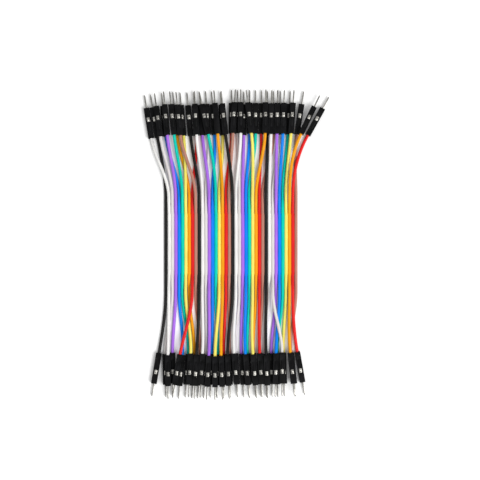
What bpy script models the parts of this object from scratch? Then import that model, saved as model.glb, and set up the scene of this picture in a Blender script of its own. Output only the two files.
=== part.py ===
"""A ribbon of jumper wires for a solderless breadboard, with a male pin on both ends of every wire.

The insulated wires lie side by side and are bonded together over the middle of their length. Towards both
ends they are peeled apart and fan out into square one-way connector housings, each with its crimped contact
pin. A housing is wider than a wire, so the housings lie in two rows, one on top of the other.

Frame: metres. The ribbon lies flat on Z = 0, its wires run along Y, and the first wire is on the -X side.
X = Y = 0 is the middle of the space that the connectors take up.
"""
import math

import bmesh
import bpy
from mathutils import Matrix, Vector

# Insulated wire and the ribbon that the wires form.
WIRE_DIAMETER = 0.00143
WIRE_GAP = 0.00010
RIBBON_LENGTH = 0.0280
MOUTH_SPAN = 0.1005
LAY_CLEARANCE = 0.00005
CROSSING_GAP = 0.00009

# One-way housing, with the hole that the wire enters and the window over the latch of the contact.
HOUSING_WIDTH = 0.00254
HOUSING_LENGTH = 0.0140
BORE_WIDTH = 0.00190
BORE_DEPTH = 0.0020
WINDOW_WIDTH = 0.00150
WINDOW_LENGTH = 0.0020
WINDOW_DEPTH = 0.00045
WINDOW_FROM_FRONT = 0.0044
ROW_GAP = 0.00015
SEAT_GAP = 0.0003

# Contact pin that stands out of the front of a housing.
PIN_WIDTH = 0.00064
PIN_LENGTH = 0.0060
PIN_POINT_LENGTH = 0.0008
PIN_POINT_WIDTH = 0.00030

# Bar inside neighbouring housings, which makes one solid of a group that lies in contact.
TIE_WIDTH = 0.0009
TIE_FROM_MOUTH = 0.0045

# How a wire runs: the shares of a fan at which it has risen, turns aside and starts to change rows, the shares
# at which its tube has a point, and the straight stretch before its housing.
RISE_END = 0.24
TURN_START = 0.22
FALL_START = 0.66
FAN_SHARES = (0.0, 0.24, 0.46, 0.66, 0.83)
ENTRY_LENGTH = 0.0015

# Middle of the connectors' space, measured from the ribbon's own middle.
LAYOUT_CENTRE_X = 0.002522
LAYOUT_CENTRE_Y = -0.000241

WIRE_PITCH = WIRE_DIAMETER + WIRE_GAP
WIRE_RADIUS = WIRE_DIAMETER / 2
LOWER_ROW_Z = HOUSING_WIDTH / 2
UPPER_ROW_Z = LOWER_ROW_Z + HOUSING_WIDTH + ROW_GAP
LAID_Z = WIRE_RADIUS + LAY_CLEARANCE
LEVEL_STEP = WIRE_DIAMETER + CROSSING_GAP

# The two ends of the ribbon, as the side of Y = 0 that each lies on.
FAR = 1
NEAR = -1

COLOURS = {
    "black": (0.013, 0.0125, 0.0125),
    "white": (0.90, 0.89, 0.87),
    "grey": (0.76, 0.73, 0.71),
    "violet": (0.43, 0.17, 0.82),
    "blue": (0.005, 0.25, 0.92),
    "green": (0.00, 0.64, 0.49),
    "yellow": (0.96, 0.84, 0.16),
    "orange": (0.94, 0.38, 0.01),
    "red": (0.78, 0.02, 0.02),
    "brown": (0.50, 0.235, 0.175),
}
HOUSING_COLOUR = (0.013, 0.013, 0.014)
COLOUR_ORDER = list(COLOURS)
WIRE_COUNT = 40

# Where each connector lies at the far end (+Y), wire by wire: sideways place of its mouth from the ribbon's
# middle and how far it is pulled out past the mean mouth line, both in housing widths, lean in degrees, row
# (1 on the table, 2 on top), and the level at which the wire crosses its neighbours. A lean towards +X is
# positive.
FAR_END = [
    (-13.20, -0.63, -9.5, 1, 1), (-14.33, -0.75, -9.0, 1, 2), (-12.60, -0.51, -8.0, 2, 2),
    (-11.38, -0.24, -5.0, 2, 2), (-11.68, -0.39, -6.0, 1, 1), (-10.16, -0.20, -6.0, 2, 2),
    (-8.49, -0.28, -5.0, 1, 2), (-9.67, -0.20, -6.0, 1, 1), (-6.18, -0.24, -4.0, 1, 1),
    (-9.02, -0.28, -6.0, 2, 3), (-7.24, -0.31, -5.0, 1, 2), (-6.14, -0.16, -3.0, 2, 2),
    (-4.02, -0.08, -4.0, 1, 1), (-5.12, -0.20, -4.0, 1, 2), (-2.95, -0.12, -4.0, 1, 1),
    (-4.06, -0.12, -12.0, 2, 2), (-1.46, -0.20, -3.0, 1, 1), (-2.36, 0.00, -5.0, 2, 2),
    (0.12, 0.12, 0.0, 1, 1), (0.39, 0.12, 3.0, 2, 2), (-0.94, -0.08, -6.0, 2, 3),
    (1.77, 0.12, 0.0, 2, 2), (1.22, 0.12, 0.0, 1, 1), (2.32, -0.16, 0.0, 1, 1),
    (3.39, 0.12, 0.0, 1, 1), (4.45, 0.08, 0.0, 1, 1), (3.70, 0.12, -7.0, 2, 2),
    (6.14, 0.08, 1.0, 2, 2), (5.51, 0.04, 0.0, 1, 1), (7.68, -0.08, 0.0, 1, 1),
    (6.57, -0.08, 0.0, 1, 2), (7.20, -0.08, 1.0, 2, 2), (8.78, -0.08, 1.0, 1, 1),
    (8.27, 0.00, 1.0, 2, 2), (9.33, 0.00, 2.0, 2, 2), (10.28, -0.04, 3.0, 1, 1),
    (10.79, 0.04, 4.0, 2, 2), (12.56, -0.08, 26.0, 2, 3), (13.86, -0.16, 29.0, 1, 2),
    (11.89, -0.04, 9.0, 1, 1),
]

# The same for the near end (-Y).
NEAR_END = [
    (-12.95, -0.12, -9.5, 1, 1), (-11.25, 0.12, 0.0, 2, 2), (-11.81, 0.00, 1.0, 1, 1),
    (-10.51, -0.20, 0.0, 1, 1), (-8.74, 0.24, -5.0, 1, 1), (-7.68, 0.00, -4.0, 1, 1),
    (-7.20, -0.16, -3.0, 2, 2), (-6.61, 0.16, -3.0, 1, 1), (-9.09, 0.00, -10.0, 2, 3),
    (-5.55, 0.16, -3.0, 1, 1), (-6.14, 0.08, -3.0, 2, 2), (-5.08, -0.12, -3.0, 2, 2),
    (-4.49, 0.12, -3.0, 1, 1), (-3.94, 0.24, -3.0, 2, 2), (-3.43, 0.00, -2.0, 1, 1),
    (-2.36, 0.12, -1.0, 1, 1), (-2.83, 0.31, 0.0, 2, 2), (-1.73, 0.24, 2.0, 2, 2),
    (-1.30, 0.08, 0.0, 1, 1), (-0.24, 0.00, 1.0, 1, 1), (-0.55, 0.08, 2.0, 2, 2),
    (0.59, -0.16, 5.0, 2, 2), (0.83, -0.04, 3.0, 1, 1), (1.93, 0.00, 3.0, 1, 1),
    (2.64, -0.04, 5.0, 2, 2), (2.99, -0.08, 3.0, 1, 1), (3.98, 0.00, 5.0, 2, 2),
    (4.06, -0.12, 3.0, 1, 1), (5.20, -0.20, 3.0, 2, 2), (5.16, -0.12, 2.0, 1, 1),
    (6.34, 0.00, 2.0, 2, 2), (6.26, -0.08, 1.5, 1, 1), (9.21, -0.35, 0.0, 2, 3),
    (7.32, -0.12, 1.0, 1, 1), (8.11, -0.20, -1.0, 2, 2), (8.35, -0.08, 1.0, 1, 1),
    (9.45, -0.20, 2.0, 1, 1), (10.67, -0.28, 6.0, 2, 2), (11.97, -0.35, 10.0, 1, 2),
    (10.87, -0.20, 6.0, 1, 1),
]

# Connectors that lie in contact and make one solid: wire numbers in the order in which they touch. One that
# touches no other is listed by itself.
FAR_GROUPS = [
    [(1, 0), (0, 2), (2, 4)], [(3, 5), (5, 7), (7, 9)], [(6, 10), (10, 8), (8, 11)], [(13, 12), (12, 15)],
    [(14, 17), (17, 16), (16, 20)], [(18, 19), (18, 22), (22, 21)], [(23, 24), (24, 26), (24, 25)],
    [(28, 27), (27, 30), (30, 31)], [(29, 33), (33, 32), (32, 34)], [(35, 36), (36, 39), (39, 37), (37, 38)],
]
NEAR_GROUPS = [
    [(0,)], [(2, 1), (1, 3)], [(8, 4), (4, 5), (5, 6), (5, 7), (7, 10), (10, 9), (9, 11)],
    [(12, 13), (13, 14), (14, 16)], [(15, 17), (17, 18), (18, 20)], [(19, 21), (21, 22), (22, 23)],
    [(24, 25), (25, 27), (27, 26)], [(29, 28), (29, 31), (31, 30)],
    [(33, 34), (34, 35), (35, 32), (32, 36)], [(37, 39), (39, 38)],
]

# Connectors whose window faces down, how far a front end dips towards the table, in degrees, and how far its
# mouth is lifted, in housing widths.
FAR_TURNED = {13, 17}
FAR_DIPS = {37: 6.0}
FAR_LIFTS = {37: 0.24}


def clear_scene():
    for item in list(bpy.data.objects):
        bpy.data.objects.remove(item, do_unlink=True)


def make_material(name, colour, roughness):
    material = bpy.data.materials.new(name)
    material.use_nodes = True
    shader = material.node_tree.nodes["Principled BSDF"]
    shader.inputs["Base Color"].default_value = (*colour, 1.0)
    shader.inputs["Roughness"].default_value = roughness
    shader.inputs["Metallic"].default_value = 0.0
    return material


def smooth_step(share, start, end):
    """Goes from 0 to 1 between start and end, level at both."""
    part = min(max((share - start) / (end - start), 0.0), 1.0)
    return part * part * (3 - 2 * part)


class Connector:
    """Where one housing lies: its mouth, the way it points, and its placing as a matrix."""

    def __init__(self, side, wire):
        place, pull, lean, row, self.level = (FAR_END if side == FAR else NEAR_END)[wire]
        dip = FAR_DIPS.get(wire, 0.0) if side == FAR else 0.0
        lift = FAR_LIFTS.get(wire, 0.0) * HOUSING_WIDTH if side == FAR else 0.0
        turned = side == FAR and wire in FAR_TURNED
        self.lean = math.radians(lean)
        height = LOWER_ROW_Z if row == 1 else UPPER_ROW_Z
        self.mouth = Vector((
            place * HOUSING_WIDTH - LAYOUT_CENTRE_X,
            side * (MOUTH_SPAN / 2 + pull * HOUSING_WIDTH) - LAYOUT_CENTRE_Y,
            height + lift,
        ))
        heading = -self.lean if side == FAR else math.pi + self.lean
        turn = Matrix.Rotation(heading, 4, "Z") @ Matrix.Rotation(-math.radians(dip), 4, "X")
        self.direction = (turn @ Vector((0.0, 1.0, 0.0))).normalized()
        roll = Matrix.Rotation(math.pi if turned else 0.0, 4, "Y")
        self.matrix = Matrix.Translation(self.mouth) @ turn @ roll

    def at(self, distance):
        """The point on the housing's axis at a distance from its mouth, towards its pin."""
        return self.mouth + self.direction * distance


def face_towards(mesh, normal):
    """The face that looks most squarely in a direction."""
    return max(mesh.faces, key=lambda face: (face.normal.dot(normal), face.calc_center_median().dot(normal)))


def extrude_face(mesh, face, move):
    """Pushes or pulls one face by a vector, with new walls behind it."""
    grown = bmesh.ops.extrude_discrete_faces(mesh, faces=[face])["faces"][0]
    bmesh.ops.translate(mesh, verts=list(grown.verts), vec=move)
    return grown


def connector_mesh():
    """One housing with its bore, window and pin; the mouth is at the origin and the pin points along +Y."""
    mesh = bmesh.new()
    box = Matrix.Translation((0.0, HOUSING_LENGTH / 2, 0.0))
    box = box @ Matrix.Diagonal((HOUSING_WIDTH, HOUSING_LENGTH, HOUSING_WIDTH, 1.0))
    bmesh.ops.create_cube(mesh, size=1.0, matrix=box)
    mesh.normal_update()

    bore = face_towards(mesh, Vector((0, -1, 0)))
    bmesh.ops.inset_individual(mesh, faces=[bore], thickness=(HOUSING_WIDTH - BORE_WIDTH) / 2)
    extrude_face(mesh, bore, Vector((0.0, BORE_DEPTH, 0.0)))

    window = face_towards(mesh, Vector((0, 0, 1)))
    bmesh.ops.inset_individual(mesh, faces=[window], thickness=HOUSING_WIDTH / 8)
    middle_y = HOUSING_LENGTH - WINDOW_FROM_FRONT - WINDOW_LENGTH / 2
    for corner in window.verts:
        corner.co.x = math.copysign(WINDOW_WIDTH / 2, corner.co.x)
        corner.co.y = middle_y + math.copysign(WINDOW_LENGTH / 2, corner.co.y - HOUSING_LENGTH / 2)
    extrude_face(mesh, window, Vector((0.0, 0.0, -WINDOW_DEPTH)))

    front = face_towards(mesh, Vector((0, 1, 0)))
    bmesh.ops.inset_individual(mesh, faces=[front], thickness=(HOUSING_WIDTH - PIN_WIDTH) / 2)
    shaft = extrude_face(mesh, front, Vector((0.0, PIN_LENGTH - PIN_POINT_LENGTH, 0.0)))
    point = extrude_face(mesh, shaft, Vector((0.0, PIN_POINT_LENGTH, 0.0)))
    for corner in point.verts:
        corner.co.x = math.copysign(PIN_POINT_WIDTH / 2, corner.co.x)
        corner.co.z = math.copysign(PIN_POINT_WIDTH / 2, corner.co.z)
    bmesh.ops.recalc_face_normals(mesh, faces=list(mesh.faces))
    return mesh


def tie_mesh(first, second):
    """A square bar from the axis of one housing to that of its neighbour."""
    start = first.at(TIE_FROM_MOUTH)
    span = second.at(TIE_FROM_MOUTH) - start
    mesh = bmesh.new()
    bmesh.ops.create_cube(mesh, size=1.0, matrix=Matrix.Diagonal((TIE_WIDTH, TIE_WIDTH, span.length, 1.0)))
    turn = span.to_track_quat("Z", "Y").to_matrix().to_4x4()
    bmesh.ops.transform(mesh, matrix=Matrix.Translation(start + span / 2) @ turn, verts=list(mesh.verts))
    return mesh


def add_object(name, mesh, matrix=None):
    """Turns a bmesh into an object of the scene."""
    if matrix is not None:
        bmesh.ops.transform(mesh, matrix=matrix, verts=list(mesh.verts))
    data = bpy.data.meshes.new(name)
    mesh.to_mesh(data)
    mesh.free()
    item = bpy.data.objects.new(name, data)
    bpy.context.scene.collection.objects.link(item)
    return item


def add_connector_group(name, side, links, material):
    """Joins the housings of one group, and the bars between them, into one solid."""
    wires = sorted({wire for link in links for wire in link})
    places = {wire: Connector(side, wire) for wire in wires}
    group = add_object(name, connector_mesh(), places[wires[0]].matrix)
    group.data.materials.append(material)
    if len(wires) == 1:
        return
    others = bpy.data.collections.new(name + "_others")
    bpy.context.scene.collection.children.link(others)
    added = [add_object(f"{name}_{wire}", connector_mesh(), places[wire].matrix) for wire in wires[1:]]
    added += [
        add_object(f"{name}_tie_{first}_{second}", tie_mesh(places[first], places[second]))
        for first, second in links
    ]
    for item in added:
        bpy.context.scene.collection.objects.unlink(item)
        others.objects.link(item)
        item.hide_render = True
        item.display_type = "WIRE"
    union = group.modifiers.new("joined", "BOOLEAN")
    union.operation = "UNION"
    union.solver = "EXACT"
    union.operand_type = "COLLECTION"
    union.collection = others


def fan_points(side, wire):
    """The points of one wire from the ribbon's end to the inside of its housing."""
    start_x = (wire - (WIRE_COUNT - 1) / 2) * WIRE_PITCH - LAYOUT_CENTRE_X
    end = Connector(side, wire)
    level_z = LAID_Z + (end.level - 1) * LEVEL_STEP
    start_y = side * RIBBON_LENGTH / 2 - LAYOUT_CENTRE_Y
    fan_length = abs(end.mouth.y - start_y)
    points = []
    for share in FAN_SHARES:
        turned = max((share - TURN_START) / (1 - TURN_START), 0.0)
        slope = math.tan(end.lean) * fan_length * (1 - TURN_START) * (turned ** 3 - turned ** 2)
        x = start_x + (end.mouth.x - start_x) * smooth_step(share, TURN_START, 1.0) + slope
        y = start_y + side * fan_length * share
        rise = smooth_step(share, 0.0, RISE_END)
        fall = smooth_step(share, FALL_START, 1.0)
        z = LAID_Z + (level_z - LAID_Z) * rise
        z += (end.mouth.z - level_z) * fall
        points.append(Vector((x, y, z)))
    points.append(end.at(-ENTRY_LENGTH))
    points.append(end.at(BORE_DEPTH - SEAT_GAP))
    return points


def add_wire(name, wire, material):
    """One insulated wire, as a tube from the housing at the far end to the housing at the near end."""
    points = fan_points(FAR, wire)[::-1] + fan_points(NEAR, wire)
    curve = bpy.data.curves.new(name, "CURVE")
    curve.dimensions = "3D"
    curve.bevel_depth = WIRE_RADIUS
    curve.bevel_resolution = 2
    curve.use_fill_caps = True
    spline = curve.splines.new("POLY")
    spline.points.add(len(points) - 1)
    for vertex, point in zip(spline.points, points):
        vertex.co = (*point, 1.0)
    curve.materials.append(material)
    item = bpy.data.objects.new(name, curve)
    bpy.context.scene.collection.objects.link(item)


def build():
    clear_scene()
    housing = make_material("housing_black", HOUSING_COLOUR, 0.42)
    insulation = {name: make_material("wire_" + name, colour, 0.38) for name, colour in COLOURS.items()}
    for wire in range(WIRE_COUNT):
        colour = COLOUR_ORDER[wire % len(COLOUR_ORDER)]
        add_wire(f"wire_{wire + 1:02d}_{colour}", wire, insulation[colour])
    for number, links in enumerate(FAR_GROUPS, start=1):
        add_connector_group(f"far_connectors_{number:02d}", FAR, links, housing)
    for number, links in enumerate(NEAR_GROUPS, start=1):
        add_connector_group(f"near_connectors_{number:02d}", NEAR, links, housing)


build()
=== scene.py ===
"""A peeled ribbon of breadboard jumper wires: coloured insulated wires with a black one-way housing and a
metal pin on both ends of every wire, seen from above on a pale table."""
import math

import bmesh
import bpy
from mathutils import Matrix, Vector


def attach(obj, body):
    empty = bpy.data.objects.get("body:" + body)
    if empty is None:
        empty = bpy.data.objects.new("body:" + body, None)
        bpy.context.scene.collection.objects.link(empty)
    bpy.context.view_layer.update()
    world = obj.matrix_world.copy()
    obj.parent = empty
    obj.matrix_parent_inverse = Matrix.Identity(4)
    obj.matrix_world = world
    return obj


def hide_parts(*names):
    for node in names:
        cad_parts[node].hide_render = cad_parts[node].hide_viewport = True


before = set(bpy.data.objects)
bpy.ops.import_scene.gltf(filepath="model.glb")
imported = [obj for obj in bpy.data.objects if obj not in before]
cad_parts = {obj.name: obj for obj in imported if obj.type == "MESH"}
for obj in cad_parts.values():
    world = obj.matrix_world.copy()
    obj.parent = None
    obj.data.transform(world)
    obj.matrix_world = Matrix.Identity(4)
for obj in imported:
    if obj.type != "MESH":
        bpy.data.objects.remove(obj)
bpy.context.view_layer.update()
bpy.ops.object.select_all(action="DESELECT")


def seen_ray(tree):
    """1 where the camera or a shiny or clear surface looks, 0 for the light that falls on the ribbon."""
    rays = tree.nodes.new("ShaderNodeLightPath")
    share = rays.outputs["Is Camera Ray"]
    for kind in ("Is Glossy Ray", "Is Transmission Ray"):
        either = tree.nodes.new("ShaderNodeMath")
        either.operation = "MAXIMUM"
        tree.links.new(share, either.inputs[0])
        tree.links.new(rays.outputs[kind], either.inputs[1])
        share = either.outputs[0]
    return share


# The table top is a plain pale sheet. It carries its own colour and the soft shadow of the ribbon, and it
# is no part of the ribbon. Its glow is masked by ambient occlusion, which paints shade into the slits
# between wires and between housings.
TABLE_SIZE = 3.0
TABLE_COLOUR = (0.84, 0.84, 0.835)
TABLE_GLOW = 0.32
SHADE_REACH = 0.004
PAPER_ROUGHNESS = 0.9
PAPER_SHEEN = 0.1

bpy.ops.mesh.primitive_plane_add(size=TABLE_SIZE, location=(0.0, 0.0, 0.0))
table_top = bpy.context.object
table_top.name = "table_top"
paper = bpy.data.materials.new("pale_table")
paper.use_nodes = True
nodes = paper.node_tree.nodes
links = paper.node_tree.links
paper_shader = nodes["Principled BSDF"]
paper_shader.inputs["Base Color"].default_value = (*TABLE_COLOUR, 1.0)
paper_shader.inputs["Roughness"].default_value = PAPER_ROUGHNESS
paper_shader.inputs["Specular IOR Level"].default_value = PAPER_SHEEN
glow_share = nodes.new("ShaderNodeMath")
glow_share.operation = "MULTIPLY"
glow_share.inputs[1].default_value = TABLE_GLOW
links.new(seen_ray(paper.node_tree), glow_share.inputs[0])
# Ambient occlusion dims the glow near the ribbon: painted shade in the slits and beside the wires and
# housings.
painted_slit_shade = nodes.new("ShaderNodeAmbientOcclusion")
painted_slit_shade.inputs["Distance"].default_value = SHADE_REACH
glow = nodes.new("ShaderNodeEmission")
links.new(painted_slit_shade.outputs["Color"], glow.inputs["Color"])
links.new(glow_share.outputs[0], glow.inputs["Strength"])
both = nodes.new("ShaderNodeAddShader")
links.new(paper_shader.outputs[0], both.inputs[0])
links.new(glow.outputs[0], both.inputs[1])
links.new(both.outputs[0], nodes["Material Output"].inputs["Surface"])
table_top.data.materials.append(paper)

# Soft studio light: a pale room all round, one broad lamp high on the right and on the near side, and a weak
# one across from it. The room is white where the camera or a shiny or clear surface looks at it.
ROOM_LIGHT = 0.37
KEY_PLACE = (0.50, -0.40, 0.99)
KEY_SIZE = 0.70
KEY_POWER = 12.0
FILL_PLACE = (-0.40, 0.50, 0.70)
FILL_SIZE = 0.50
FILL_POWER = 0.5

room = bpy.data.worlds.new("pale_room")
bpy.context.scene.world = room
room.use_nodes = True
nodes = room.node_tree.nodes
links = room.node_tree.links
air = nodes["Background"]
air.inputs["Color"].default_value = (1.0, 1.0, 1.0, 1.0)
seen = nodes.new("ShaderNodeMapRange")
seen.inputs["To Min"].default_value = ROOM_LIGHT
seen.inputs["To Max"].default_value = 1.0
links.new(seen_ray(room.node_tree), seen.inputs["Value"])
links.new(seen.outputs["Result"], air.inputs["Strength"])


def add_lamp(name, place, size, power):
    bpy.ops.object.light_add(type="AREA", location=place)
    lamp = bpy.context.object
    lamp.name = name
    lamp.data.shape = "DISK"
    lamp.data.size = size
    lamp.data.energy = power
    lamp.rotation_euler = (-Vector(place)).to_track_quat("-Z", "Y").to_euler()


add_lamp("key_lamp", KEY_PLACE, KEY_SIZE, KEY_POWER)
add_lamp("fill_lamp", FILL_PLACE, FILL_SIZE, FILL_POWER)

# The camera looks straight down. Its frame is as wide as the stretch of table that the photograph takes in at
# the height of the upper housings.
CAMERA_CENTRE = (0.00167, 0.00211)
CAMERA_DISTANCE = 0.55
FRAME_WIDTH = 0.2186
FRAME_HEIGHT = 0.0040
SENSOR_WIDTH = 36.0
NEAREST_SEEN = 0.01

bpy.ops.object.camera_add(location=(*CAMERA_CENTRE, FRAME_HEIGHT + CAMERA_DISTANCE), rotation=(0.0, 0.0, 0.0))
camera = bpy.context.object
camera.name = "camera"
camera.data.sensor_width = SENSOR_WIDTH
camera.data.lens = SENSOR_WIDTH * CAMERA_DISTANCE / FRAME_WIDTH
camera.data.clip_start = NEAREST_SEEN
bpy.context.scene.camera = camera
bpy.context.scene.view_settings.view_transform = "Standard"

# Where every housing lies. A housing is a wire's end, so the wires, the housings and the contacts all follow
# this list: sideways place of the mouth from the ribbon's middle and how far it is pulled out past the mean
# mouth line, both in housing widths, lean in degrees, row, and the level at which the wire crosses others.
HOUSING_WIDTH = 0.00254
HOUSING_LENGTH = 0.0140
ROW_GAP = 0.00015
MOUTH_SPAN = 0.1005
CENTRE_X = 0.002522
CENTRE_Y = -0.000241
FAR = 1
NEAR = -1
FAR_END = [
    (-13.20, -0.63, -9.5, 1, 1), (-14.33, -0.75, -9.0, 1, 2), (-12.60, -0.51, -8.0, 2, 2),
    (-11.38, -0.24, -5.0, 2, 2), (-11.68, -0.39, -6.0, 1, 1), (-10.16, -0.20, -6.0, 2, 2),
    (-8.49, -0.28, -5.0, 1, 2), (-9.67, -0.20, -6.0, 1, 1), (-6.18, -0.24, -4.0, 1, 1),
    (-9.02, -0.28, -6.0, 2, 3), (-7.24, -0.31, -5.0, 1, 2), (-6.14, -0.16, -3.0, 2, 2),
    (-4.02, -0.08, -4.0, 1, 1), (-5.12, -0.20, -4.0, 1, 2), (-2.95, -0.12, -4.0, 1, 1),
    (-4.06, -0.12, -12.0, 2, 2), (-1.46, -0.20, -3.0, 1, 1), (-2.36, 0.00, -5.0, 2, 2),
    (0.12, 0.12, 0.0, 1, 1), (0.39, 0.12, 3.0, 2, 2), (-0.94, -0.08, -6.0, 2, 3),
    (1.77, 0.12, 0.0, 2, 2), (1.22, 0.12, 0.0, 1, 1), (2.32, -0.16, 0.0, 1, 1),
    (3.39, 0.12, 0.0, 1, 1), (4.45, 0.08, 0.0, 1, 1), (3.70, 0.12, -7.0, 2, 2),
    (6.14, 0.08, 1.0, 2, 2), (5.51, 0.04, 0.0, 1, 1), (7.68, -0.08, 0.0, 1, 1),
    (6.57, -0.08, 0.0, 1, 2), (7.20, -0.08, 1.0, 2, 2), (8.78, -0.08, 1.0, 1, 1),
    (8.27, 0.00, 1.0, 2, 2), (9.33, 0.00, 2.0, 2, 2), (10.28, -0.04, 3.0, 1, 1),
    (10.79, 0.04, 4.0, 2, 2), (12.56, -0.08, 26.0, 2, 3), (13.86, -0.16, 29.0, 1, 2),
    (11.89, -0.04, 9.0, 1, 1),
]
NEAR_END = [
    (-12.95, -0.12, -9.5, 1, 1), (-11.25, 0.12, 0.0, 2, 2), (-11.81, 0.00, 1.0, 1, 1),
    (-10.51, -0.20, 0.0, 1, 1), (-8.74, 0.24, -5.0, 1, 1), (-7.68, 0.00, -4.0, 1, 1),
    (-7.20, -0.16, -3.0, 2, 2), (-6.61, 0.16, -3.0, 1, 1), (-9.09, 0.00, -10.0, 2, 3),
    (-5.55, 0.16, -3.0, 1, 1), (-6.14, 0.08, -3.0, 2, 2), (-5.08, -0.12, -3.0, 2, 2),
    (-4.49, 0.12, -3.0, 1, 1), (-3.94, 0.24, -3.0, 2, 2), (-3.43, 0.00, -2.0, 1, 1),
    (-2.36, 0.12, -1.0, 1, 1), (-2.83, 0.31, 0.0, 2, 2), (-1.73, 0.24, 2.0, 2, 2),
    (-1.30, 0.08, 0.0, 1, 1), (-0.24, 0.00, 1.0, 1, 1), (-0.55, 0.08, 2.0, 2, 2),
    (0.59, -0.16, 5.0, 2, 2), (0.83, -0.04, 3.0, 1, 1), (1.93, 0.00, 3.0, 1, 1),
    (2.64, -0.04, 5.0, 2, 2), (2.99, -0.08, 3.0, 1, 1), (3.98, 0.00, 5.0, 2, 2),
    (4.06, -0.12, 3.0, 1, 1), (5.20, -0.20, 3.0, 2, 2), (5.16, -0.12, 2.0, 1, 1),
    (6.34, 0.00, 2.0, 2, 2), (6.26, -0.08, 1.5, 1, 1), (9.21, -0.35, 0.0, 2, 3),
    (7.32, -0.12, 1.0, 1, 1), (8.11, -0.20, -1.0, 2, 2), (8.35, -0.08, 1.0, 1, 1),
    (9.45, -0.20, 2.0, 1, 1), (10.67, -0.28, 6.0, 2, 2), (11.97, -0.35, 10.0, 1, 2),
    (10.87, -0.20, 6.0, 1, 1),
]

# By the numbers of their wires: the housings that lie upside down, those whose front dips, in degrees, and
# how far those are lifted, in housing widths.
TURNED = {FAR: {13, 17}, NEAR: set()}
DIPS = {FAR: {37: 6.0}, NEAR: {}}
LIFTS = {FAR: {37: 0.24}, NEAR: {}}


def placing(side, wire):
    """The matrix that puts a connector in place, modelled with its mouth at the origin and its pin on +Y."""
    place, pull, lean, row, _ = (FAR_END if side == FAR else NEAR_END)[wire]
    height = HOUSING_WIDTH / 2 + (row - 1) * (HOUSING_WIDTH + ROW_GAP)
    height += LIFTS[side].get(wire, 0.0) * HOUSING_WIDTH
    heading = -math.radians(lean) if side == FAR else math.pi + math.radians(lean)
    mouth_y = side * (MOUTH_SPAN / 2 + pull * HOUSING_WIDTH) - CENTRE_Y
    move = Matrix.Translation((place * HOUSING_WIDTH - CENTRE_X, mouth_y, height))
    dip = -math.radians(DIPS[side].get(wire, 0.0))
    turn = Matrix.Rotation(heading, 4, "Z") @ Matrix.Rotation(dip, 4, "X")
    roll = Matrix.Rotation(math.pi if wire in TURNED[side] else 0.0, 4, "Y")
    return move @ turn @ roll


# The insulated wires: stranded copper in a smooth PVC sleeve, bonded side by side in the middle and peeled
# apart towards both ends. Each is one length that runs from inside its far housing to inside its near one.
WIRE_DIAMETER = 0.00143
WIRE_GAP = 0.00010
RIBBON_LENGTH = 0.0280
CROSSING_GAP = 0.00009
TABLE_GAP = 0.00005
LAID_Z = WIRE_DIAMETER / 2 + TABLE_GAP
RISE_END = 0.24
TURN_START = 0.22
FALL_START = 0.66
ENTRY_LENGTH = 0.0015
BORE_REACH = 0.0017
FAN_STEPS = 22
WIRE_ROUNDNESS = 4
INSULATION = {
    "black": (0.013, 0.0125, 0.0125),
    "white": (0.90, 0.89, 0.87),
    "grey": (0.76, 0.73, 0.71),
    "violet": (0.43, 0.17, 0.82),
    "blue": (0.005, 0.25, 0.92),
    "green": (0.00, 0.64, 0.49),
    "yellow": (0.96, 0.84, 0.16),
    "orange": (0.94, 0.38, 0.01),
    "red": (0.78, 0.02, 0.02),
    "brown": (0.50, 0.235, 0.175),
}
COLOUR_ORDER = list(INSULATION)
WIRE_COUNT = 40


def smooth_step(share, start, end):
    part = min(max((share - start) / (end - start), 0.0), 1.0)
    return part * part * (3 - 2 * part)


def fan_route(side, wire):
    """The points of a wire from the bonded stretch to the inside of its housing."""
    matrix = placing(side, wire)
    mouth = matrix.translation
    pointing = (matrix.to_3x3() @ Vector((0.0, 1.0, 0.0))).normalized()
    _, _, lean, _, level = (FAR_END if side == FAR else NEAR_END)[wire]
    start_x = (wire - (WIRE_COUNT - 1) / 2) * (WIRE_DIAMETER + WIRE_GAP) - CENTRE_X
    level_z = LAID_Z + (level - 1) * (WIRE_DIAMETER + CROSSING_GAP)
    start_y = side * RIBBON_LENGTH / 2 - CENTRE_Y
    fan_length = abs(mouth.y - start_y)
    points = []
    for step in range(FAN_STEPS):
        share = step / FAN_STEPS
        turned = max((share - TURN_START) / (1 - TURN_START), 0.0)
        slope = math.tan(math.radians(lean)) * fan_length * (1 - TURN_START) * (turned ** 3 - turned ** 2)
        z = LAID_Z + (level_z - LAID_Z) * smooth_step(share, 0.0, RISE_END)
        z += (mouth.z - level_z) * smooth_step(share, FALL_START, 1.0)
        x = start_x + (mouth.x - start_x) * smooth_step(share, TURN_START, 1.0) + slope
        points.append(Vector((x, start_y + side * fan_length * share, z)))
    points = [point for point in points if side * (mouth.y - point.y) > ENTRY_LENGTH]
    points.append(mouth - pointing * ENTRY_LENGTH)
    points.append(mouth)
    points.append(mouth + pointing * BORE_REACH)
    return points


def add_noise(tree, vector, scale, detail):
    noise = tree.nodes.new("ShaderNodeTexNoise")
    noise.inputs["Scale"].default_value = scale
    noise.inputs["Detail"].default_value = detail
    tree.links.new(vector, noise.inputs["Vector"])
    return noise.outputs["Fac"]


def mottle(tree, noise, shades, bounds, roughness):
    """Moves a surface's colour between two shades, and its roughness between two values, with a noise."""
    shader = tree.nodes["Principled BSDF"]
    tint = tree.nodes.new("ShaderNodeValToRGB")
    for stop, bound, shade in zip(tint.color_ramp.elements, bounds, shades):
        stop.position = bound
        stop.color = (*shade, 1.0)
    tree.links.new(noise, tint.inputs["Fac"])
    tree.links.new(tint.outputs["Color"], shader.inputs["Base Color"])
    gloss = tree.nodes.new("ShaderNodeMapRange")
    for end, value in zip(("To Min", "To Max"), roughness):
        gloss.inputs[end].default_value = value
    tree.links.new(noise, gloss.inputs["Value"])
    tree.links.new(gloss.outputs["Result"], shader.inputs["Roughness"])


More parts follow.
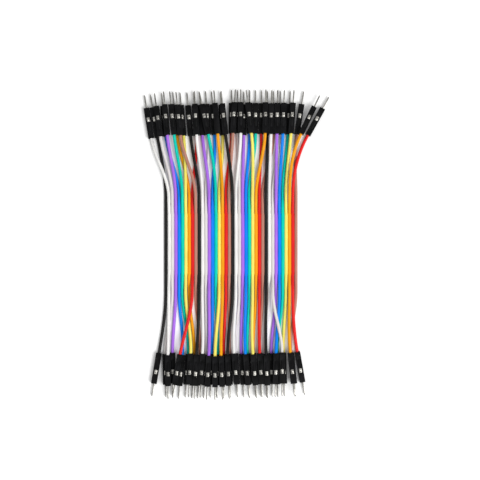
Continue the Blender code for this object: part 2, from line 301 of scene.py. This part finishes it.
def emboss(tree, noise, strength, depth):
    """Gives a surface a fine relief that follows a noise."""
    relief = tree.nodes.new("ShaderNodeBump")
    relief.inputs["Strength"].default_value = strength
    relief.inputs["Distance"].default_value = depth
    tree.links.new(noise, relief.inputs["Height"])
    tree.links.new(relief.outputs["Normal"], tree.nodes["Principled BSDF"].inputs["Normal"])


# The look of the insulation. The noise is stretched along the wires.
PVC_SHEEN = 0.10
PVC_ROUGHNESS = (0.30, 0.44)
CLOUD_STRETCH = (900.0, 120.0, 900.0)
CLOUD_SCALE = 1.0
CLOUD_DETAIL = 3.0
CLOUD_BOUNDS = (0.30, 0.70)
CLOUD_DARKEST = 0.90
CLOUD_LIGHTEST = 1.05
BLACK_LIFT = 0.002
WAVE_STRENGTH = 0.10
WAVE_DEPTH = 0.00005


def insulation_material(colour_name):
    """Smooth extruded PVC: a faint cloudiness in the colour, fine waviness, and a soft sheen."""
    material = bpy.data.materials.new("pvc_" + colour_name)
    material.use_nodes = True
    tree = material.node_tree
    tree.nodes["Principled BSDF"].inputs["Specular IOR Level"].default_value = PVC_SHEEN
    place = tree.nodes.new("ShaderNodeTexCoord")
    stretch = tree.nodes.new("ShaderNodeMapping")
    stretch.inputs["Scale"].default_value = CLOUD_STRETCH
    tree.links.new(place.outputs["Object"], stretch.inputs["Vector"])
    cloud = add_noise(tree, stretch.outputs["Vector"], CLOUD_SCALE, CLOUD_DETAIL)
    colour = Vector(INSULATION[colour_name])
    lightest = [min(channel * CLOUD_LIGHTEST + BLACK_LIFT, 1.0) for channel in colour]
    mottle(tree, cloud, (colour * CLOUD_DARKEST, lightest), CLOUD_BOUNDS, PVC_ROUGHNESS)
    emboss(tree, cloud, WAVE_STRENGTH, WAVE_DEPTH)
    return material


pvc = {name: insulation_material(name) for name in COLOUR_ORDER}

for wire in range(WIRE_COUNT):
    colour_name = COLOUR_ORDER[wire % len(COLOUR_ORDER)]
    route = fan_route(FAR, wire)[::-1] + fan_route(NEAR, wire)
    line = bpy.data.curves.new(f"insulated_wire_{wire + 1:02d}", "CURVE")
    line.dimensions = "3D"
    line.bevel_depth = WIRE_DIAMETER / 2
    line.bevel_resolution = WIRE_ROUNDNESS
    line.use_fill_caps = True
    spline = line.splines.new("POLY")
    spline.points.add(len(route) - 1)
    for corner, point in zip(spline.points, route):
        corner.co = (*point, 1.0)
    spline.use_smooth = True
    line.materials.append(pvc[colour_name])
    sleeve = bpy.data.objects.new(f"insulated_wire_{wire + 1:02d}", line)
    bpy.context.scene.collection.objects.link(sleeve)
    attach(sleeve, "root")
    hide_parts(f"wire_{wire + 1:02d}_{colour_name}")
    tuple(placing(FAR, wire).translation)

# The bond is where neighbouring sleeves were fused as they were extruded: a thin web of the same PVC between
# each pair of wires, which ends where the wires have been peeled apart.
BOND_WIDTH = 0.00060
BOND_THICKNESS = 0.00034
BOND_ROUNDING = 0.00010
BOND_SMOOTHED_ANGLE = 40.0
ROUNDING_SEGMENTS = 2


def join(pieces):
    """Joins pieces into the first of them."""
    bpy.ops.object.select_all(action="DESELECT")
    for piece in pieces:
        piece.select_set(True)
    bpy.context.view_layer.objects.active = pieces[0]
    bpy.ops.object.join()
    return bpy.context.object


bond_strips = []
for seam in range(WIRE_COUNT - 1):
    seam_x = (seam + 0.5 - (WIRE_COUNT - 1) / 2) * (WIRE_DIAMETER + WIRE_GAP) - CENTRE_X
    bpy.ops.mesh.primitive_cube_add(size=1.0, location=(seam_x, -CENTRE_Y, LAID_Z),
                                    scale=(BOND_WIDTH, RIBBON_LENGTH, BOND_THICKNESS))
    strip = bpy.context.object
    bpy.ops.object.transform_apply(location=True, rotation=True, scale=True)
    rounding = strip.modifiers.new("rounding", "BEVEL")
    rounding.width = BOND_ROUNDING
    rounding.segments = ROUNDING_SEGMENTS
    bpy.ops.object.modifier_apply(modifier=rounding.name)
    strip.data.materials.append(pvc[COLOUR_ORDER[seam % len(COLOUR_ORDER)]])
    bond_strips.append(strip)
bond = join(bond_strips)
bond.name = "ribbon_bond"
bpy.ops.object.shade_smooth_by_angle(angle=math.radians(BOND_SMOOTHED_ANGLE))
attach(bond, "root")

# The housings are square sleeves moulded in black plastic, open at both ends, with a springy latch on one
# side that holds the contact through a window. One is modelled here and copied to every wire end.
HOUSING_COLOUR = (0.0038, 0.0038, 0.0042)
MOUTH_WIDTH = 0.00190
MOUTH_DEPTH = 0.0030
CAVITY_WIDTH = 0.00170
CAVITY_END = 0.0132
FRONT_HOLE = 0.00092
WINDOW_WIDTH = 0.00150
WINDOW_LENGTH = 0.0020
WINDOW_TO_FRONT = 0.0044
WINDOW_MIDDLE = HOUSING_LENGTH - WINDOW_TO_FRONT - WINDOW_LENGTH / 2
LATCH_START = 0.0034
LATCH_HALF_WIDTH = 0.00052
LATCH_TO_WINDOW = 0.0004
LATCH_END = WINDOW_MIDDLE - WINDOW_LENGTH / 2 - LATCH_TO_WINDOW
GROOVE = 0.00022
GROOVE_DEPTH = 0.00016
EDGE_ROUNDING = 0.00007
CUT_OVERLAP = 0.0010
ROUNDED_ANGLE = 30.0
SMOOTHED_ANGLE = 35.0


def cut_box(piece, low, high):
    """Cuts a box out of a piece, as a slider in the mould leaves it."""
    low, high = Vector(low), Vector(high)
    bpy.ops.mesh.primitive_cube_add(size=1.0, location=(low + high) / 2, scale=high - low)
    cutter = bpy.context.object
    cut = piece.modifiers.new("cut", "BOOLEAN")
    cut.operation = "DIFFERENCE"
    cut.solver = "EXACT"
    cut.object = cutter
    bpy.ops.object.select_all(action="DESELECT")
    bpy.context.view_layer.objects.active = piece
    piece.select_set(True)
    bpy.ops.object.modifier_apply(modifier=cut.name)
    bpy.data.objects.remove(cutter)


def square_cut(piece, width, start, end):
    cut_box(piece, (-width / 2, start, -width / 2), (width / 2, end, width / 2))


def round_edges(piece, width, angle=ROUNDED_ANGLE):
    """Rounds a finished piece's edges and smooths its faces between the sharp ones."""
    bpy.ops.object.select_all(action="DESELECT")
    bpy.context.view_layer.objects.active = piece
    piece.select_set(True)
    rounding = piece.modifiers.new("rounding", "BEVEL")
    rounding.width = width
    rounding.segments = ROUNDING_SEGMENTS
    rounding.limit_method = "ANGLE"
    rounding.angle_limit = math.radians(angle)
    bpy.ops.object.modifier_apply(modifier=rounding.name)
    bpy.ops.object.shade_smooth_by_angle(angle=math.radians(SMOOTHED_ANGLE))


bpy.ops.mesh.primitive_cube_add(size=1.0, location=(0.0, HOUSING_LENGTH / 2, 0.0),
                                scale=(HOUSING_WIDTH, HOUSING_LENGTH, HOUSING_WIDTH))
housing_pattern = bpy.context.object
bpy.ops.object.transform_apply(location=True, rotation=True, scale=True)
square_cut(housing_pattern, MOUTH_WIDTH, -CUT_OVERLAP, MOUTH_DEPTH)
square_cut(housing_pattern, CAVITY_WIDTH, MOUTH_DEPTH - CUT_OVERLAP, CAVITY_END)
square_cut(housing_pattern, FRONT_HOLE, CAVITY_END - CUT_OVERLAP, HOUSING_LENGTH + CUT_OVERLAP)
top = HOUSING_WIDTH / 2
cut_box(housing_pattern, (-WINDOW_WIDTH / 2, WINDOW_MIDDLE - WINDOW_LENGTH / 2, 0.0),
        (WINDOW_WIDTH / 2, WINDOW_MIDDLE + WINDOW_LENGTH / 2, top + CUT_OVERLAP))
for hand in (-1, 1):
    inner = hand * LATCH_HALF_WIDTH
    outer = hand * (LATCH_HALF_WIDTH + GROOVE)
    cut_box(housing_pattern, (min(inner, outer), LATCH_START, top - GROOVE_DEPTH),
            (max(inner, outer), LATCH_END, top + CUT_OVERLAP))
cut_box(housing_pattern, (-LATCH_HALF_WIDTH - GROOVE, LATCH_START - GROOVE, top - GROOVE_DEPTH),
        (LATCH_HALF_WIDTH + GROOVE, LATCH_START, top + CUT_OVERLAP))
round_edges(housing_pattern, EDGE_ROUNDING)

# The look of the plastic: faint patches of two blacks, and the fine grain that the mould leaves.
PLASTIC_SHEEN = 0.05
PLASTIC_ROUGHNESS = (0.34, 0.56)
PATCH_SCALE = 210.0
PATCH_DETAIL = 2.0
PATCH_BOUNDS = (0.35, 0.68)
PATCH_SHADES = (0.6, 1.9)
GRAIN_SCALE = 9000.0
GRAIN_DETAIL = 3.0
GRAIN_STRENGTH = 0.18
GRAIN_DEPTH = 0.00003

black_plastic = bpy.data.materials.new("black_housing_plastic")
black_plastic.use_nodes = True
tree = black_plastic.node_tree
tree.nodes["Principled BSDF"].inputs["Specular IOR Level"].default_value = PLASTIC_SHEEN
place = tree.nodes.new("ShaderNodeTexCoord").outputs["Object"]
shades = [[channel * share for channel in HOUSING_COLOUR] for share in PATCH_SHADES]
mottle(tree, add_noise(tree, place, PATCH_SCALE, PATCH_DETAIL), shades, PATCH_BOUNDS, PLASTIC_ROUGHNESS)
emboss(tree, add_noise(tree, place, GRAIN_SCALE, GRAIN_DETAIL), GRAIN_STRENGTH, GRAIN_DEPTH)
housing_pattern.data.materials.append(black_plastic)

# Housings that touch or nearly touch are copied as one piece here, as in the solids, by the numbers of their
# wires.
GROUPS = {
    FAR: [
        (0, 1, 2, 4), (3, 5, 7, 9), (6, 8, 10, 11), (12, 13, 15), (14, 16, 17, 20), (18, 19, 21, 22),
        (23, 24, 25, 26), (27, 28, 30, 31), (29, 32, 33, 34), (35, 36, 37, 38, 39),
    ],
    NEAR: [
        (0,), (1, 2, 3), (4, 5, 6, 7, 8, 9, 10, 11), (12, 13, 14, 16), (15, 17, 18, 20), (19, 21, 22, 23),
        (24, 25, 26, 27), (28, 29, 30, 31), (32, 33, 34, 35, 36), (37, 38, 39),
    ],
}
SIDE_NAMES = {FAR: "far", NEAR: "near"}


def copy_to_wires(pattern, name, side, wires):
    """One piece of as many copies as there are wires, each with its own mesh put in its place."""
    copies = []
    for wire in wires:
        copy = pattern.copy()
        copy.data = pattern.data.copy()
        copy.data.transform(placing(side, wire))
        bpy.context.scene.collection.objects.link(copy)
        copies.append(copy)
    joined = join(copies)
    joined.name = name
    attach(joined, "root")
    return joined


for side, groups in GROUPS.items():
    for number, wires in enumerate(groups, start=1):
        end = SIDE_NAMES[side]
        housings = copy_to_wires(housing_pattern, f"{end}_housings_{number:02d}", side, wires)
        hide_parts(f"{end}_connectors_{number:02d}")
bpy.data.objects.remove(housing_pattern)

# The contacts are stamped from tin-plated sheet and crimped on the wire: a square pin with a pointed end, a
# box that fills the housing behind the window, a raised tang in the window, and a round crimp with a flared
# lip. The metal that the housing covers is the same plating painted lighter than the pins: a painted glint.
# The pins' plating, and a lighter copy of it for the box, tang and crimp that is a painted glint in the
# windows.
PIN_COLOUR = (0.20, 0.195, 0.18)
BOX_GLINT_COLOUR = (0.40, 0.39, 0.36)
PIN_WIDTH = 0.00064
PIN_LENGTH = 0.0060
PIN_POINT_LENGTH = 0.0008
PIN_POINT_SHARE = 0.45
PIN_ROUNDING = 0.00007
PIN_ROUNDED_ANGLE = 15.0
BOX_WIDTH = 0.00146
BOX_START = 0.0060
BOX_SHOULDER = 0.0002
BOX_ROUNDING = 0.00008
TANG_WIDTH = 0.00085
TANG_LENGTH = 0.0012
TANG_RISE = 0.00026
TANG_SINK = 0.0001
TANG_NARROWING = 0.8
TANG_SHORTENING = 0.6
TANG_ROUNDING = 0.00006
CRIMP_START = 0.0019
CRIMP_WIDTH = 0.00120
CRIMP_SIDES = 16
CRIMP_LIP = 0.0001
CRIMP_FLARE = 1.12
CRIMP_ROUNDING = 0.00004

# The look of the plating.
PLATING_ROUGHNESS = (0.20, 0.42)
STAIN_SCALE = 380.0
STAIN_DETAIL = 2.0
STAIN_BOUNDS = (0.36, 0.62)
STAIN_SHADES = (0.70, 1.25)
SCRATCH_SCALE = 5200.0
SCRATCH_DETAIL = 2.0
SCRATCH_STRENGTH = 0.15
SCRATCH_DEPTH = 0.00002

# A face belongs to a part's end if it lies this close to it and looks this nearly that way.
END_REACH = 1e-6
END_FACING = 0.9


def plated_metal(name, colour):
    """Tin plating on stamped metal: blotchy, with fine scratches."""
    material = bpy.data.materials.new(name)
    material.use_nodes = True
    tree = material.node_tree
    tree.nodes["Principled BSDF"].inputs["Metallic"].default_value = 1.0
    place = tree.nodes.new("ShaderNodeTexCoord").outputs["Object"]
    shades = [[channel * share for channel in colour] for share in STAIN_SHADES]
    mottle(tree, add_noise(tree, place, STAIN_SCALE, STAIN_DETAIL), shades, STAIN_BOUNDS, PLATING_ROUGHNESS)
    emboss(tree, add_noise(tree, place, SCRATCH_SCALE, SCRATCH_DETAIL), SCRATCH_STRENGTH, SCRATCH_DEPTH)
    return material


def edit_end(piece, direction):
    """Goes into edit mode, with the faces selected that look one way and lie furthest that way."""
    bpy.ops.object.mode_set(mode="EDIT")
    bpy.ops.mesh.select_mode(type="FACE")
    bpy.ops.mesh.select_all(action="DESELECT")
    direction = Vector(direction)
    shape = bmesh.from_edit_mesh(piece.data)
    reach = max(corner.co.dot(direction) for corner in shape.verts)
    for face in shape.faces:
        at_end = face.calc_center_median().dot(direction) > reach - END_REACH
        face.select_set(at_end and face.normal.dot(direction) > END_FACING)
    bmesh.update_edit_mesh(piece.data)


def finish_part(piece, metal, rounding, angle=ROUNDED_ANGLE):
    """Leaves edit mode, rounds a part of the contact and gives it its metal."""
    bpy.ops.object.mode_set(mode="OBJECT")
    round_edges(piece, rounding, angle)
    piece.data.materials.append(metal)


def add_box(low, high):
    """A box from corner to corner, with its place in its mesh."""
    low, high = Vector(low), Vector(high)
    bpy.ops.mesh.primitive_cube_add(size=1.0, location=(low + high) / 2, scale=high - low)
    bpy.ops.object.transform_apply(location=True, rotation=True, scale=True)
    return bpy.context.object


pin_tip = HOUSING_LENGTH + PIN_LENGTH
# One plating in two copies: the lighter one is a painted glint on the metal seen through the windows.
pin_metal = plated_metal("pin_tin_plating", PIN_COLOUR)
glint_painted_metal = plated_metal("tin_plating_painted_glint", BOX_GLINT_COLOUR)

pin = add_box((-PIN_WIDTH / 2, CAVITY_END - CUT_OVERLAP / 2, -PIN_WIDTH / 2),
              (PIN_WIDTH / 2, pin_tip - PIN_POINT_LENGTH, PIN_WIDTH / 2))
edit_end(pin, (0, 1, 0))
bpy.ops.mesh.extrude_region_move(TRANSFORM_OT_translate={"value": (0.0, PIN_POINT_LENGTH, 0.0)})
bpy.ops.transform.resize(value=(PIN_POINT_SHARE, 1.0, PIN_POINT_SHARE), center_override=(0.0, pin_tip, 0.0))
finish_part(pin, pin_metal, PIN_ROUNDING, PIN_ROUNDED_ANGLE)

box = add_box((-BOX_WIDTH / 2, BOX_START, -BOX_WIDTH / 2),
              (BOX_WIDTH / 2, CAVITY_END - BOX_SHOULDER, BOX_WIDTH / 2))
edit_end(box, (0, 1, 0))
bpy.ops.mesh.inset(thickness=(BOX_WIDTH - PIN_WIDTH) / 4)
bpy.ops.mesh.extrude_region_move(TRANSFORM_OT_translate={"value": (0.0, BOX_SHOULDER, 0.0)})
finish_part(box, glint_painted_metal, BOX_ROUNDING)

tang_start = WINDOW_MIDDLE - TANG_LENGTH / 2
tang = add_box((-TANG_WIDTH / 2, tang_start, BOX_WIDTH / 2 - TANG_SINK),
               (TANG_WIDTH / 2, tang_start + TANG_LENGTH, BOX_WIDTH / 2 + TANG_RISE))
edit_end(tang, (0, 0, 1))
bpy.ops.transform.resize(value=(TANG_NARROWING, TANG_SHORTENING, 1.0),
                         center_override=(0.0, tang_start, BOX_WIDTH / 2))
finish_part(tang, glint_painted_metal, TANG_ROUNDING)

bpy.ops.mesh.primitive_cylinder_add(vertices=CRIMP_SIDES, radius=CRIMP_WIDTH / 2,
                                    depth=BOX_START - CRIMP_START,
                                    location=(0.0, (BOX_START + CRIMP_START) / 2, 0.0),
                                    rotation=(math.radians(90), 0.0, 0.0))
crimp = bpy.context.object
bpy.ops.object.transform_apply(location=True, rotation=True, scale=True)
edit_end(crimp, (0, -1, 0))
bpy.ops.mesh.extrude_region_move(TRANSFORM_OT_translate={"value": (0.0, -CRIMP_LIP, 0.0)})
bpy.ops.transform.resize(value=(CRIMP_FLARE, 1.0, CRIMP_FLARE), center_override=(0.0, CRIMP_START, 0.0))
finish_part(crimp, glint_painted_metal, CRIMP_ROUNDING)

contact_pattern = join([pin, box, tang, crimp])

for side, groups in GROUPS.items():
    for number, wires in enumerate(groups, start=1):
        end = SIDE_NAMES[side]
        contacts = copy_to_wires(contact_pattern, f"{end}_contacts_{number:02d}", side, wires)
        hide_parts(f"{end}_connectors_{number:02d}")
bpy.data.objects.remove(contact_pattern)
